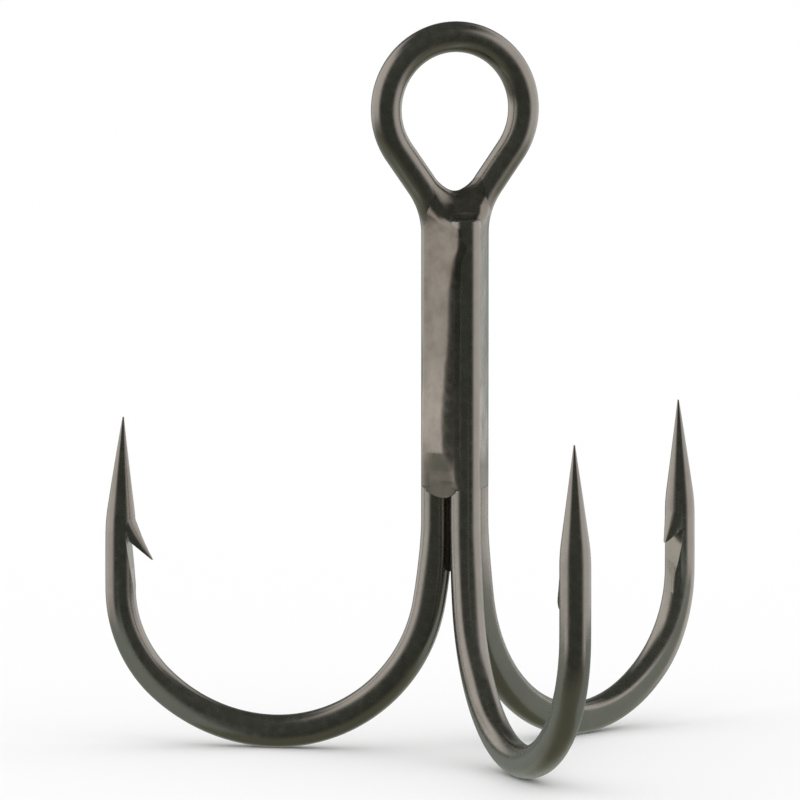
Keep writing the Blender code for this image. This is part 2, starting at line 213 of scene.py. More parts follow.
def lengths_back_from_end(stations):
    distances = [0.0]
    for (a0, b0, _), (a1, b1, _) in zip(reversed(stations[:-1]), reversed(stations[1:])):
        distances.append(distances[-1] + math.hypot(a1 - a0, b1 - b0))
    return list(reversed(distances))


# ---- Wire sections --------------------------------------------------------------------------


def point_radius(distance):
    """Radius of the ground point at a distance from its tip: a cone that rounds into the wire."""
    cone_end_radius = WIRE_RADIUS - POINT_SLOPE * POINT_BLEND / 2
    cone_end = (cone_end_radius - TIP_RADIUS) / POINT_SLOPE
    if distance <= cone_end:
        return TIP_RADIUS + POINT_SLOPE * distance
    left = max(0.0, cone_end + POINT_BLEND - distance)
    return WIRE_RADIUS - POINT_SLOPE * left * left / (2 * POINT_BLEND)


def forging(height, distance):
    """How far the wire is forged, from 0 on the shank and the point to 1 round the bend."""
    flare_top = flare_top_height()
    shank_side = 1.0 - smooth_step(height, 0.7 * flare_top, flare_top)
    point_side = smooth_step(distance, NOTCH_DISTANCE + RAMP_LENGTH, NOTCH_DISTANCE + 3 * RAMP_LENGTH)
    return min(shank_side, point_side)


def section_point(angle, radius, forged):
    """A point of the wire's section: (in the hook's plane, across it).  Forging flattens its sides."""
    exponent = 2.0 + (FORGED_SQUARENESS - 2.0) * forged
    depth = radius + (FORGED_DEPTH - WIRE_RADIUS) * forged
    c = math.cos(angle)
    s = math.sin(angle)
    size = (abs(c) ** exponent + abs(s) ** exponent) ** (-1.0 / exponent)
    return depth * c * size, radius * s * size


def hook_rings(azimuth, tip_height, top_z, side_twist):
    """Rings (centre, in-plane vector, across vector, radius, forging) from the shank's top to the tip.

    side_twist turns the section by that many degrees at the shank's top, so that it meets the eye's.
    """
    stations = hook_outline(top_z - BEND_Z, tip_height)
    axis = Vector((0.0, SHANK_AXIS_Y, BEND_Z))
    outward = polar(azimuth)
    rings = []
    for (distance_out, height, heading), back in zip(stations, lengths_back_from_end(stations)):
        centre = axis + outward * distance_out + Vector((0.0, 0.0, height))
        turn = side_twist * smooth_step(centre.z, TWIST_TOP_Z - TWIST_LENGTH, TWIST_TOP_Z)
        in_plane = polar(azimuth + turn) * -math.sin(heading) + Vector((0.0, 0.0, math.cos(heading)))
        across = polar(azimuth + 90.0 + turn)
        rings.append((centre, in_plane.normalized(), across, point_radius(back), forging(height, back)))
    return rings


def eye_rings():
    """Rings from the right leg's shank top, up the neck, round the eye and down to the left leg."""
    shank_x = BUNDLE_RADIUS * math.cos(math.radians(RIGHT_AZIMUTH))
    neck = math.radians(NECK_ANGLE)
    corner_length = (EYE_RADIUS * math.cos(neck) - shank_x) / math.sin(neck)
    corner_z = -EYE_RADIUS * math.sin(neck) - corner_length * math.cos(neck)
    fillet_tangent = NECK_FILLET_RADIUS * math.tan(neck / 2)
    stations = trace(
        (shank_x, corner_z - fillet_tangent),
        90.0,
        [
            arc(NECK_FILLET_RADIUS, -NECK_ANGLE, NECK_STEPS),
            (corner_length - fillet_tangent, 0.0, NECK_LINE_STEPS),
            arc(EYE_RADIUS, 180.0 + 2 * NECK_ANGLE, EYE_STEPS),
            (corner_length - fillet_tangent, 0.0, NECK_LINE_STEPS),
            arc(NECK_FILLET_RADIUS, -NECK_ANGLE, NECK_STEPS),
        ],
    )
    rings = []
    for x, z, heading in stations:
        in_plane = Vector((-math.sin(heading), 0.0, math.cos(heading)))
        rings.append((Vector((x, 0.0, z)), in_plane, Vector((0.0, 1.0, 0.0)), WIRE_RADIUS, 0.0))
    return rings


def neck_bottom_z():
    return eye_rings()[0][0].z


# ---- Meshes ---------------------------------------------------------------------------------


def linked_object(name, data):
    obj = bpy.data.objects.new(name, data)
    bpy.context.scene.collection.objects.link(obj)
    return obj


def mesh_from(name, mesh_data):
    mesh = bpy.data.meshes.new(name)
    mesh_data.to_mesh(mesh)
    mesh_data.free()
    return mesh


def shade(mesh, smooth_angle):
    """Smooth shading, but for edges that turn by more than an angle in degrees."""
    mesh.shade_smooth()
    mesh.set_sharp_from_angle(angle=math.radians(smooth_angle))


def new_piece(name, mesh_data):
    """Turns a bmesh in millimetres into an object in metres, faces pointing out."""
    bmesh.ops.scale(mesh_data, vec=(MM, MM, MM), verts=mesh_data.verts)
    bmesh.ops.recalc_face_normals(mesh_data, faces=mesh_data.faces)
    mesh = mesh_from(name, mesh_data)
    shade(mesh, WIRE_SMOOTH_ANGLE)
    return linked_object(name, mesh)


def tube(rings):
    """A closed tube through the rings, with its turn and its length in centimetres in a UV map."""
    centimetre = 10.0
    mesh = bmesh.new()
    uv_layer = mesh.loops.layers.uv.new("wire")
    loops = []
    lengths = [0.0]
    for previous, ring in zip(rings, rings[1:]):
        lengths.append(lengths[-1] + (ring[0] - previous[0]).length)
    for centre, in_plane, across, radius, forged in rings:
        loop = []
        for i in range(WIRE_SIDES):
            u, v = section_point(2 * math.pi * i / WIRE_SIDES, radius, forged)
            loop.append(mesh.verts.new(centre + in_plane * u + across * v))
        loops.append(loop)
    for k, (first, second) in enumerate(zip(loops, loops[1:])):
        for i in range(WIRE_SIDES):
            j = (i + 1) % WIRE_SIDES
            face = mesh.faces.new((first[i], first[j], second[j], second[i]))
            corners = ((i, k), (i + 1, k), (i + 1, k + 1), (i, k + 1))
            for loop, (around, along) in zip(face.loops, corners):
                loop[uv_layer].uv = (around / WIRE_SIDES, lengths[along] / centimetre)
    mesh.faces.new(loops[0])
    mesh.faces.new(list(reversed(loops[-1])))
    return mesh


def apply_booleans(obj, steps):
    """Joins or cuts obj with each helper in turn and removes the helpers."""
    for helper, operation in steps:
        modifier = obj.modifiers.new(operation, "BOOLEAN")
        modifier.operation = operation
        modifier.solver = "EXACT"
        modifier.object = helper
    depsgraph = bpy.context.evaluated_depsgraph_get()
    mesh = bpy.data.meshes.new_from_object(obj.evaluated_get(depsgraph))
    obj.modifiers.clear()
    obj.data = mesh
    shade(mesh, WIRE_SMOOTH_ANGLE)
    for helper, _ in steps:
        bpy.data.objects.remove(helper, do_unlink=True)


def leg_place(azimuth, tip_height, distance, inward, across):
    """A place by the point's leg: distance back from the tip, inward from the centreline, and across."""
    any_shank = 1.0
    tip_r, tip_h, tip_heading = hook_outline(flare_top_height() + any_shank, tip_height)[-1]
    heading = tip_heading - distance / LEG_RADIUS
    middle = (heading + tip_heading) / 2
    r = tip_r - distance * math.cos(middle) - inward * math.sin(heading)
    h = tip_h - distance * math.sin(middle) + inward * math.cos(heading)
    return Vector((0.0, SHANK_AXIS_Y, BEND_Z + h)) + polar(azimuth, r) + polar(azimuth + 90.0, across)


def barb_sliver(azimuth, tip_height, full_lift, shift, end_half_width):
    """The pried-up sliver, before its underside is cut: the wire's own surface lifted off its leg.

    It rises ever more steeply, and its root starts just under the surface.
    """
    first_slope = 0.7
    root_depth = 0.03
    flank = math.radians(78.0)
    mesh = bmesh.new()
    top = []
    floor = []
    for i in range(BARB_ROWS):
        along = i / (BARB_ROWS - 1)
        distance = BARB_ROOT + shift + (BARB_END - BARB_ROOT) * along
        radius = point_radius(distance)
        root_half_width = radius - root_depth
        half_width = root_half_width + (end_half_width - root_half_width) * along**BARB_TAPER_POWER
        lift = full_lift * (first_slope * along + (1 - first_slope) * along**2) - root_depth
        row = []
        for j in range(BARB_COLUMNS):
            angle = flank * (2 * j / (BARB_COLUMNS - 1) - 1)
            across = half_width * math.sin(angle)
            inward = radius * math.cos(angle) + lift
            row.append(mesh.verts.new(leg_place(azimuth, tip_height, distance, inward, across)))
        top.append(row)
        low_half_width = half_width * math.sin(flank)
        sides = [
            leg_place(azimuth, tip_height, distance, BARB_FLOOR, side * low_half_width)
            for side in (-1, 1)
        ]
        floor.append([mesh.verts.new(place) for place in sides])
    for i in range(BARB_ROWS - 1):
        for j in range(BARB_COLUMNS - 1):
            mesh.faces.new((top[i][j], top[i][j + 1], top[i + 1][j + 1], top[i + 1][j]))
        mesh.faces.new((top[i][0], top[i + 1][0], floor[i + 1][0], floor[i][0]))
        mesh.faces.new((top[i][-1], floor[i][1], floor[i + 1][1], top[i + 1][-1]))
        mesh.faces.new((floor[i][0], floor[i + 1][0], floor[i + 1][1], floor[i][1]))
    mesh.faces.new([floor[0][0], floor[0][1]] + list(reversed(top[0])))
    mesh.faces.new([floor[-1][1], floor[-1][0]] + top[-1])
    bmesh.ops.triangulate(mesh, faces=mesh.faces)
    return new_piece("sliver_helper", mesh)


def chisel_wedge(azimuth, tip_height, shift):
    """What the chisel takes out: between the barb's underside and the long ramp below it."""
    notch = NOTCH_DISTANCE + shift
    notch_inward = WIRE_RADIUS - NOTCH_DEPTH
    past_surface = 1.2
    ramp_end = notch + RAMP_LENGTH * past_surface
    underside_end = notch + CHISEL_REACH / math.tan(math.radians(CHISEL_ANGLE))
    outline = [
        (notch, notch_inward),
        (ramp_end, notch_inward + NOTCH_DEPTH * past_surface),
        (ramp_end, notch_inward + CHISEL_REACH),
        (underside_end, notch_inward + CHISEL_REACH),
    ]
    mesh = bmesh.new()
    sides = [
        [
            mesh.verts.new(leg_place(azimuth, tip_height, distance, inward, side * CHISEL_HALF_WIDTH))
            for distance, inward in outline
        ]
        for side in (-1, 1)
    ]
    mesh.faces.new(sides[0])
    mesh.faces.new(list(reversed(sides[1])))
    for i in range(len(outline)):
        j = (i + 1) % len(outline)
        mesh.faces.new((sides[0][i], sides[1][i], sides[1][j], sides[0][j]))
    return new_piece("chisel_helper", mesh)


def barb_steps(azimuth, tip_height, lift, shift, end_half_width):
    """The helpers that make one barb, each with what is done with it."""
    return [
        (barb_sliver(azimuth, tip_height, lift, shift, end_half_width), "UNION"),
        (chisel_wedge(azimuth, tip_height, shift), "DIFFERENCE"),
    ]


def make_eyed_double_hook():
    top_z = neck_bottom_z()
    right = hook_rings(RIGHT_AZIMUTH, DOUBLE_TIP_HEIGHT, top_z, -RIGHT_AZIMUTH)
    left = hook_rings(LEFT_AZIMUTH, DOUBLE_TIP_HEIGHT, top_z, 180.0 - LEFT_AZIMUTH)
    turned_right = [(c, -u, v, radius, forged) for c, u, v, radius, forged in reversed(right[1:])]
    turned_left = [(c, -u, -v, radius, forged) for c, u, v, radius, forged in left[1:]]
    hook = new_piece("fine_eyed_double_hook", tube(turned_right + eye_rings() + turned_left))
    sizes = (RIGHT_BARB_LIFT, RIGHT_BARB_SHIFT, BARB_END_HALF_WIDTH)
    right_barb = barb_steps(RIGHT_AZIMUTH, DOUBLE_TIP_HEIGHT, *sizes)
    sizes = (LEFT_BARB_LIFT, LEFT_BARB_SHIFT, BARB_END_HALF_WIDTH)
    left_barb = barb_steps(LEFT_AZIMUTH, DOUBLE_TIP_HEIGHT, *sizes)
    apply_booleans(hook, right_barb + left_barb)
    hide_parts("eyed_double_hook")
    return hook


def make_single_hook():
    """The single hook, whose cut top has its edge broken by a small bevel."""
    rings = hook_rings(SINGLE_AZIMUTH, SINGLE_TIP_HEIGHT, SINGLE_TOP_Z, 0.0)
    top, u, v, radius, forged = rings[0]
    below = top - Vector((0.0, 0.0, CUT_TOP_BEVEL))
    bevel = [(top, u, v, radius - CUT_TOP_BEVEL, forged), (below, u, v, radius, forged)]
    hook = new_piece("fine_single_hook", tube(bevel + rings[1:]))
    sizes = (SINGLE_BARB_LIFT, SINGLE_BARB_SHIFT, SINGLE_BARB_END_HALF_WIDTH)
    apply_booleans(hook, barb_steps(SINGLE_AZIMUTH, SINGLE_TIP_HEIGHT, *sizes))
    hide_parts("single_hook")
    return hook


# ---- Braze ----------------------------------------------------------------------------------
#
# The braze is described by fields: functions of place, in millimetres from the frame's origin, that
# are negative inside it.  Each argument and each result is a numpy array.  A pair of numbers is where
# a smooth step starts and where it ends.

SHANK_X = BUNDLE_RADIUS * math.cos(math.radians(RIGHT_AZIMUTH))
SINGLE_Y = SHANK_AXIS_Y - BUNDLE_RADIUS

# The web in the V under the eye: the fillet from leg to leg, the rounding of its edges, the sweep with
# which it runs out onto the single hook's top, how deep its faces lie, and its lumps.
WEB_FILLET = 1.59
WEB_HALF_THICKNESS = 0.79
WEB_EDGE = 0.77
WEB_SWEEP = 1.40
WEB_TOP_Z = -3.4
WEB_SINK = 0.020
WEB_LUMP = 0.012
WEB_LUMP_SIZE = 1.1
WEB_LUMP_SEED = 0.7

# What fills the middle of the bundle just below the web, down to a depth under the single hook's top.
CORE_DEPTH = 1.0
CORE_SINK = 0.03

# The braze in each groove: its rounded top edge, how deep it goes in from the plane of the two wires'
# centrelines, the thin film that it leaves on the wires beside its face, how face and film dip under
# at their ends, and the lumps and pits of the face.
TOP_EDGE = 0.40
TOP_SINK = 0.03
GROOVE_DEPTH = 0.45
FACE_FILM = 0.006
FILM_CURVE = 0.15
FILM_END = 0.35
FILM_END_LENGTH = 0.25
SINK_LIMIT = 0.06
FACE_TOP_STEP = (0.5, 1.2)
FILM_TOP_STEP = (-0.5, 0.3)
END_SINK = 0.9
LUMP = 0.030
LUMP_SIZE = 2.6
PIT = 0.010
PIT_SIZE = 0.7

# The tail of each groove, in the gap between the wires below its lower end.
TAIL_LENGTH = 3.9
TAIL_TOP = 0.5
TAIL_DEPTH = 0.08
TAIL_SLOPE = 0.05

# The right and the rear face, nearly flat from wire to wire.
PLAIN_BOW = 0.02
PLAIN_END_STEP = (-0.15, 0.2)

# The left face: a crest runs up it, and its place across the face (-1 at the left leg, 1 at the single
# hook) is given at heights over the lower end.  It fades out as that place nears CREST_LAST.
CREST_HEIGHTS = (-0.3, 1.5, 2.4, 4.2, 8.8, 10.9, 12.5, 13.6)
CREST_PLACES = (1.2, 0.70, 0.22, 0.16, 0.50, 0.52, 0.78, 1.2)
CREST_WANDER = 3.0
CREST_LAST = 1.15
CREST_FADE = 0.3
CREST_SLOPE = 0.45
CREST_WIDTH = 0.30
CREST_FILM = 0.11

# The blob at the left face's lower end, and how it swells over the left leg.
BLOB_HEIGHT = 2.30
BLOB_SLOPE = 0.06
BLOB_ROUNDING = 0.12
BLOB_SAG = 0.35
BLOB_END_STEP = (0.26, 0.38)
LEG_FILM = 0.24
LEG_FILM_SLOPE = 1.8
SWELLING_STEP = (-0.25, BLOB_HEIGHT + 0.9)
SWELLING_POWER = 0.5
SHRINKING_STEP = (3.0, 9.5)


def smooth_steps(value, low, high):
    """The same as smooth_step, for arrays."""
    t = np.clip((value - low) / (high - low), 0.0, 1.0)
    return t * t * (3 - 2 * t)


def filleted(first, second, radius):
    """Union of two fields with a round fillet where they meet."""
    u = np.maximum(radius - first, 0.0)
    v = np.maximum(radius - second, 0.0)
    return np.maximum(radius, np.minimum(first, second)) - np.hypot(u, v)


def wedge_filleted(first, second, radius, cosine):
    """The same for two surfaces that face each other; cosine is that of the angle between normals."""
    u = radius - first
    v = radius - second
    corner = np.sqrt(np.maximum(u**2 + v**2 - 2 * cosine * u * v, 0.0) / (1 - cosine**2))
    return radius - np.where((u > cosine * v) & (v > cosine * u), corner, np.maximum(u, v))


def rounded_cut(first, second, radius):
    """Intersection of two fields with a rounded edge."""
    u = np.maximum(radius + first, 0.0)
    v = np.maximum(radius + second, 0.0)
    return np.minimum(-radius, np.maximum(first, second)) + np.hypot(u, v)


def ripple(x, y, z, size, seed):
    """Smooth lumps about as long as size, between -1 and 1: crossed sine waves at odd angles."""
    waves = 6
    total = 0.0
    for k in range(waves):
        a = seed + 2.4 * k
        wave = x * math.sin(a) + y * math.cos(1.3 * a) + z * math.sin(0.7 * a + 1.0)
        total = total + np.sin(2 * math.pi * wave / (size * (0.7 + 0.13 * k)) + 5.0 * a)
    return total / waves


def leg_outline(x, z, side):
    """Distance, in the plane of the eye, to the outline of one of the double's legs."""
    neck = math.radians(NECK_ANGLE)
    bottom = neck_bottom_z()
    out = side * x
    fillet_x = SHANK_X + NECK_FILLET_RADIUS
    rise = z - bottom
    straight = np.abs(out - SHANK_X)
    turn = np.arctan2(rise, fillet_x - out)
    curved = np.abs(np.hypot(fillet_x - out, rise) - NECK_FILLET_RADIUS)
    end_x = fillet_x - NECK_FILLET_RADIUS * math.cos(neck)
    end_z = bottom + NECK_FILLET_RADIUS * math.sin(neck)
    slanted = np.abs((out - end_x) * math.cos(neck) - (z - end_z) * math.sin(neck))
    return np.where(rise <= 0, straight, np.where(turn <= neck, curved, slanted)) - WIRE_RADIUS


def wire_centre(azimuth, z):
    """Where a wire's centreline is at a height: the double's legs lean apart above the neck's foot,
    and all three wires below the shank."""
    neck = math.radians(NECK_ANGLE)
    rise = np.maximum(z - neck_bottom_z(), 0.0)
    end_rise = NECK_FILLET_RADIUS * math.sin(neck)
    bent = NECK_FILLET_RADIUS - np.sqrt(NECK_FILLET_RADIUS**2 - np.minimum(rise, end_rise) ** 2)
    lean = bent + np.maximum(rise - end_rise, 0.0) * math.tan(neck)
    drop = np.maximum(BEND_Z + flare_top_height() - z, 0.0)
    spread = BUNDLE_RADIUS + FLARE_RADIUS - np.sqrt(FLARE_RADIUS**2 - drop**2)
    outward = polar(azimuth)
    side = round(BUNDLE_RADIUS * outward.x / SHANK_X)
    return outward.x * spread + side * lean, outward.y * spread + SHANK_AXIS_Y


def bundle_field(x, y, z):
    """Distance to the surface of a band stretched round all three wires."""
    centres = [wire_centre(azimuth, z) for azimuth in (RIGHT_AZIMUTH, LEFT_AZIMUTH, SINGLE_AZIMUTH)]
    inside = -np.inf
    outside = np.inf
    for (x0, y0), (x1, y1) in zip(centres, centres[1:] + centres[:1]):
        along_x = x1 - x0
        along_y = y1 - y0
        length = np.hypot(along_x, along_y)
        share = np.clip(((x - x0) * along_x + (y - y0) * along_y) / length**2, 0.0, 1.0)
        outside = np.minimum(outside, np.hypot(x - x0 - share * along_x, y - y0 - share * along_y))
        inside = np.maximum(inside, ((x - x0) * along_y - (y - y0) * along_x) / length)
    return np.where(inside < 0, inside, outside) - WIRE_RADIUS


def bead_field(x, y, z):
    """The rounded web in the V under the eye."""
    cosine = -math.cos(2 * math.radians(NECK_ANGLE))
    outline = wedge_filleted(leg_outline(x, z, 1), leg_outline(x, z, -1), WEB_FILLET, cosine)
    return rounded_cut(outline + WEB_SINK, np.abs(y) - WEB_HALF_THICKNESS, WEB_EDGE)


def neck_space(x, y, z):
    """The web and all below the single hook's top, with a round sweep from the one to the other."""
    return filleted(bead_field(x, y, z), z - SINGLE_TOP_Z, WEB_SWEEP)


def web_field(x, y, z):
    """The web in the V under the eye and what fills the middle of the bundle just below it."""
    lumps = WEB_LUMP * ripple(x, y, z, WEB_LUMP_SIZE, WEB_LUMP_SEED)
    web = np.maximum(bead_field(x, y, z) + lumps, np.abs(x) - wire_centre(RIGHT_AZIMUTH, z)[0])
    core = rounded_cut(bundle_field(x, y, z) + CORE_SINK, neck_space(x, y, z) + lumps, TOP_EDGE)
    ends = np.maximum(z - WEB_TOP_Z, SINGLE_TOP_Z - CORE_DEPTH - z)
    return np.maximum(np.minimum(web, core), ends)


def groove_field(azimuths, end_z, seed, shape):
    """Braze in the groove between two wires: a face near flush with both, thinning out over them.

    shape(across, above, rough) gives the face's height over the wires' common tangent plane, at a
    place across the groove (-1 at the first wire, 1 at the second) and a height above the lower end,
    and then the film left on each wire as (thickness at the tangent, slope down from there, end).
    """

    def field(x, y, z):
        (x0, y0), (x1, y1) = (wire_centre(azimuth, z) for azimuth in azimuths)
        length = np.hypot(x1 - x0, y1 - y0)
        along_x = (x1 - x0) / length
        along_y = (y1 - y0) / length
        px = x - (x0 + x1) / 2
        py = y - (y0 + y1) / 2
        u = px * along_x + py * along_y
        v = px * along_y - py * along_x
        half = length / 2
        above = z - end_z
        over_top = z - SINGLE_TOP_Z
        rough = LUMP * ripple(x, y, z, LUMP_SIZE, seed) + PIT * ripple(x, y, z, PIT_SIZE, seed + 3)
        height, films = shape(np.clip(u / half, -1.0, 1.0), above, rough)
        height = height - 2 * SINK_LIMIT * smooth_steps(over_top, *FACE_TOP_STEP)
        solid = np.maximum(v - WIRE_RADIUS - FACE_FILM - height, np.abs(u) - half)
        for sign, (thickness, slope, end) in zip((-1, 1), films):
            side = sign * u - half
            run = WIRE_RADIUS * np.maximum(np.arctan2(side, v), 0.0)
            film = np.maximum(thickness + FACE_FILM - slope * run - FILM_CURVE * run**2, -SINK_LIMIT)
            film = film - 2 * SINK_LIMIT * (1 - smooth_steps(above, end, end + FILM_END_LENGTH))
            film = film - 2 * SINK_LIMIT * smooth_steps(over_top, *FILM_TOP_STEP)
            solid = np.minimum(solid, np.hypot(side, v) - WIRE_RADIUS - film)
        solid = rounded_cut(solid, neck_space(x, y, z) + TOP_SINK, TOP_EDGE)
        tail = np.maximum(v + TAIL_DEPTH - TAIL_SLOPE * above, above - TAIL_TOP)
        solid = np.minimum(solid, np.maximum(tail, np.abs(u) - half))
        ends = np.maximum(over_top - WEB_SWEEP, -TAIL_LENGTH - above)
        return np.maximum(np.maximum(solid, ends), -GROOVE_DEPTH - v)

    return field


def end_sink(across, above, low, high):
    """How far the lower end of the braze has run back into its groove."""
    bow = np.sqrt(np.clip(1 - across**2, 0.0, 1.0))
    return END_SINK * bow * (1 - smooth_steps(above, low, high))


def plain_shape(across, above, rough):
    """A face nearly flat from wire to wire."""
    bow = 1 - across**2
    height = (PLAIN_BOW + rough) * bow - end_sink(across, above, *PLAIN_END_STEP)
    film = (0.0, 0.0, 0.0)
    return height, (film, film)


def left_shape(across, above, rough):
    """The left face, which bows out towards the single hook and ends in a sagging blob."""
    bow = 1 - across**2
    crest = np.interp(above, CREST_HEIGHTS, CREST_PLACES) + CREST_WANDER * rough
    strength = np.clip((CREST_LAST - crest) / CREST_FADE, 0.0, 1.0)
    rest = np.maximum(1 - crest, 0.0)
    past = np.maximum(across - crest, 0.0)
    swelling = smooth_steps(above, *SWELLING_STEP) ** SWELLING_POWER
    swelling = swelling * (1 - smooth_steps(above, *SHRINKING_STEP))
    leg_film = LEG_FILM * swelling
    top = strength * (CREST_FILM + CREST_SLOPE * (np.hypot(rest, CREST_WIDTH) - CREST_WIDTH))
    falling = top - strength * CREST_SLOPE * (np.hypot(past, CREST_WIDTH) - CREST_WIDTH)
    rising = leg_film + (top - leg_film) * smooth_steps(across, -1.0, np.minimum(crest, 1.0))
    height = np.where(across < crest, rising, falling) + rough * bow
    left = BLOB_HEIGHT - above
    height = height - BLOB_SLOPE * bow * (left + np.hypot(left, BLOB_ROUNDING)) / 2
    height = height - end_sink(across, above + BLOB_SAG * bow, *BLOB_END_STEP)
    leg = (leg_film, LEG_FILM_SLOPE * leg_film, FILM_END)
    single_slope = strength * CREST_SLOPE * rest / np.hypot(rest, CREST_WIDTH)
    single = (strength * CREST_FILM, single_slope, FILM_END)
    return height, (leg, single)


def crossed_edges(value, axis):
    """Where the zero surface crosses the grid's edges along one axis.

    Returns the edges' first corners, the crossings, and whether the field rises along each edge, all
    in cells of the grid; for the middle axis the last is turned round, as its ring of cells is.
    """
    near = [slice(None)] * 3
    far = [slice(None)] * 3
    near[axis] = slice(None, -1)
    far[axis] = slice(1, None)
    v0 = value[tuple(near)]
    v1 = value[tuple(far)]
    corners = np.argwhere((v0 < 0) != (v1 < 0))
    for k in range(3):
        if k != axis:
            corners = corners[(corners[:, k] > 0) & (corners[:, k] < value.shape[k] - 1)]
    a = v0[tuple(corners.T)]
    b = v1[tuple(corners.T)]
    crossings = corners.astype(float)
    crossings[:, axis] += a / (a - b)
    return corners, crossings, (a < 0) != (axis == 1)


def field_mesh(name, field, low, high):
    """A closed mesh on a field's zero surface: one vertex in each cell that the surface crosses."""
    axes = [np.arange(a, b + BRAZE_CELL, BRAZE_CELL) for a, b in zip(low, high)]
    value = field(*np.meshgrid(*axes, indexing="ij"))
    counts = [len(axis) - 1 for axis in axes]
    total = np.zeros((*counts, 3))
    hits = np.zeros(counts, dtype=int)
    rings = []
    for axis in range(3):
        corners, crossings, outward = crossed_edges(value, axis)
        side_axes = [k for k in range(3) if k != axis]
        ring = []
        for steps in ((-1, -1), (0, -1), (0, 0), (-1, 0)):
            cells = corners.copy()
            cells[:, side_axes] += steps
            np.add.at(total, tuple(cells.T), crossings)
            np.add.at(hits, tuple(cells.T), 1)
            ring.append(cells)
        rings.append((ring, outward))
    used = hits > 0
    index = np.full(counts, -1)
    index[used] = np.arange(used.sum())
    origin = np.array([axis[0] for axis in axes])
    points = settle(total[used] / hits[used][:, None] * BRAZE_CELL + origin, field)
    faces = []
    for ring, outward in rings:
        quads = np.stack([index[tuple(cells.T)] for cells in ring], axis=1)
        quads[~outward] = quads[~outward][:, ::-1]
        faces.append(quads)
    mesh = bpy.data.meshes.new(name)
    mesh.from_pydata((points * MM).tolist(), [], np.concatenate(faces).tolist())
    shade(mesh, BRAZE_SMOOTH_ANGLE)
    return linked_object(name, mesh)


def settle(points, field):
    """Moves points onto the field's zero surface along its slope, never further than half a cell."""
    rounds = 4
    step = 0.004
    least_slope = 0.5
    start = points
    for _ in range(rounds):
        here = field(*points.T)
        slopes = []
        for axis in np.eye(3):
            ahead = field(*(points + step * axis).T)
            behind = field(*(points - step * axis).T)
            slopes.append((ahead - behind) / (2 * step))
        slope = np.stack(slopes, axis=1)
        move = -here / np.maximum((slope**2).sum(axis=1), least_slope**2)
        shift = points + slope * move[:, None] - start
        points = start + np.clip(shift, -BRAZE_CELL / 2, BRAZE_CELL / 2)
    return points


def make_braze(name, node, field, low, high):
    piece = field_mesh(name, field, low, high)
    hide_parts(node)
    return piece


def make_brazes():
    """The three grooves' braze and the web, each from a grid a little larger than its field."""
    wire_margin = 0.15
    side_margin = 0.5
    end_margin = 0.2
    web_grid_x = 2.9
    ends = {name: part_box(f"braze_{name}_groove")[0].z / MM for name in ("left", "right", "rear")}
    reach = WIRE_RADIUS + wire_margin
    outer_x = SHANK_X + reach + side_margin
    # Name, the wires on either side, the seed of its lumps, the shape of its face, and its grid in X
    grooves = [
        ("left", (LEFT_AZIMUTH, SINGLE_AZIMUTH), 1.0, left_shape, (-outer_x, SHANK_X)),
        ("right", (SINGLE_AZIMUTH, RIGHT_AZIMUTH), 2.0, plain_shape, (-SHANK_X, outer_x)),
        ("rear", (RIGHT_AZIMUTH, LEFT_AZIMUTH), 3.0, plain_shape, (-outer_x, outer_x)),
    ]
    pieces = []
    for name, azimuths, seed, shape, (low_x, high_x) in grooves:
        field = groove_field(azimuths, ends[name], seed, shape)
        low = (low_x, SINGLE_Y - reach, ends[name] - TAIL_LENGTH - end_margin)
        high = (high_x, reach, SINGLE_TOP_Z + WEB_SWEEP + end_margin)
        pieces.append(make_braze(f"fine_braze_{name}", f"braze_{name}_groove", field, low, high))
    low = (-web_grid_x, SINGLE_Y - reach, SINGLE_TOP_Z - CORE_DEPTH - end_margin)
    high = (web_grid_x, reach, WEB_TOP_Z + end_margin)
    pieces.append(make_braze("fine_braze_neck_web", "braze_neck_web", web_field, low, high))
    return pieces


# ---- Materials ------------------------------------------------------------------------------


class Nodes:
    """Short calls for building a node tree."""

    def __init__(self, tree):
        self.tree = tree

    def add(self, kind, inputs=None, **settings):
        node = self.tree.nodes.new(kind)
        for name, value in settings.items():
            setattr(node, name, value)
        for name, value in (inputs or {}).items():
            if isinstance(value, bpy.types.NodeSocket):
                self.tree.links.new(value, node.inputs[name])
            else:
                node.inputs[name].default_value = value
        return node

    def math(self, operation, first, second=0.0):
        return self.add("ShaderNodeMath", {0: first, 1: second}, operation=operation).outputs[0]

    def noise(self, place, scale, detail):
        inputs = {"Vector": place, "Scale": scale, "Detail": detail}
        return self.add("ShaderNodeTexNoise", inputs).outputs["Fac"]

    def bump(self, height, strength, distance, normal=None):
        inputs = {"Height": height, "Strength": strength, "Distance": distance}
        if normal is not None:
            inputs["Normal"] = normal
        return self.add("ShaderNodeBump", inputs).outputs["Normal"]

    def ramp(self, factor, stops):
        node = self.add("ShaderNodeValToRGB", {"Fac": factor})
        elements = node.color_ramp.elements
        while len(elements) < len(stops):
            elements.new(1.0)
        for element, (position, colour) in zip(elements, stops):
            element.position = position
            element.color = (*colour, 1.0)
        return node.outputs["Color"]

    def range(self, value, low, high, new_low, new_high):
        inputs = {"Value": value, "From Min": low, "From Max": high, "To Min": new_low, "To Max": new_high}
        return self.add("ShaderNodeMapRange", inputs).outputs["Result"]

    def smooth(self, value, low, high):
        inputs = {"Value": value, "From Min": low, "From Max": high}
        node = self.add("ShaderNodeMapRange", inputs, interpolation_type="SMOOTHSTEP")
        return node.outputs["Result"]

    def degrees(self, value):
        return self.math("DEGREES", value)


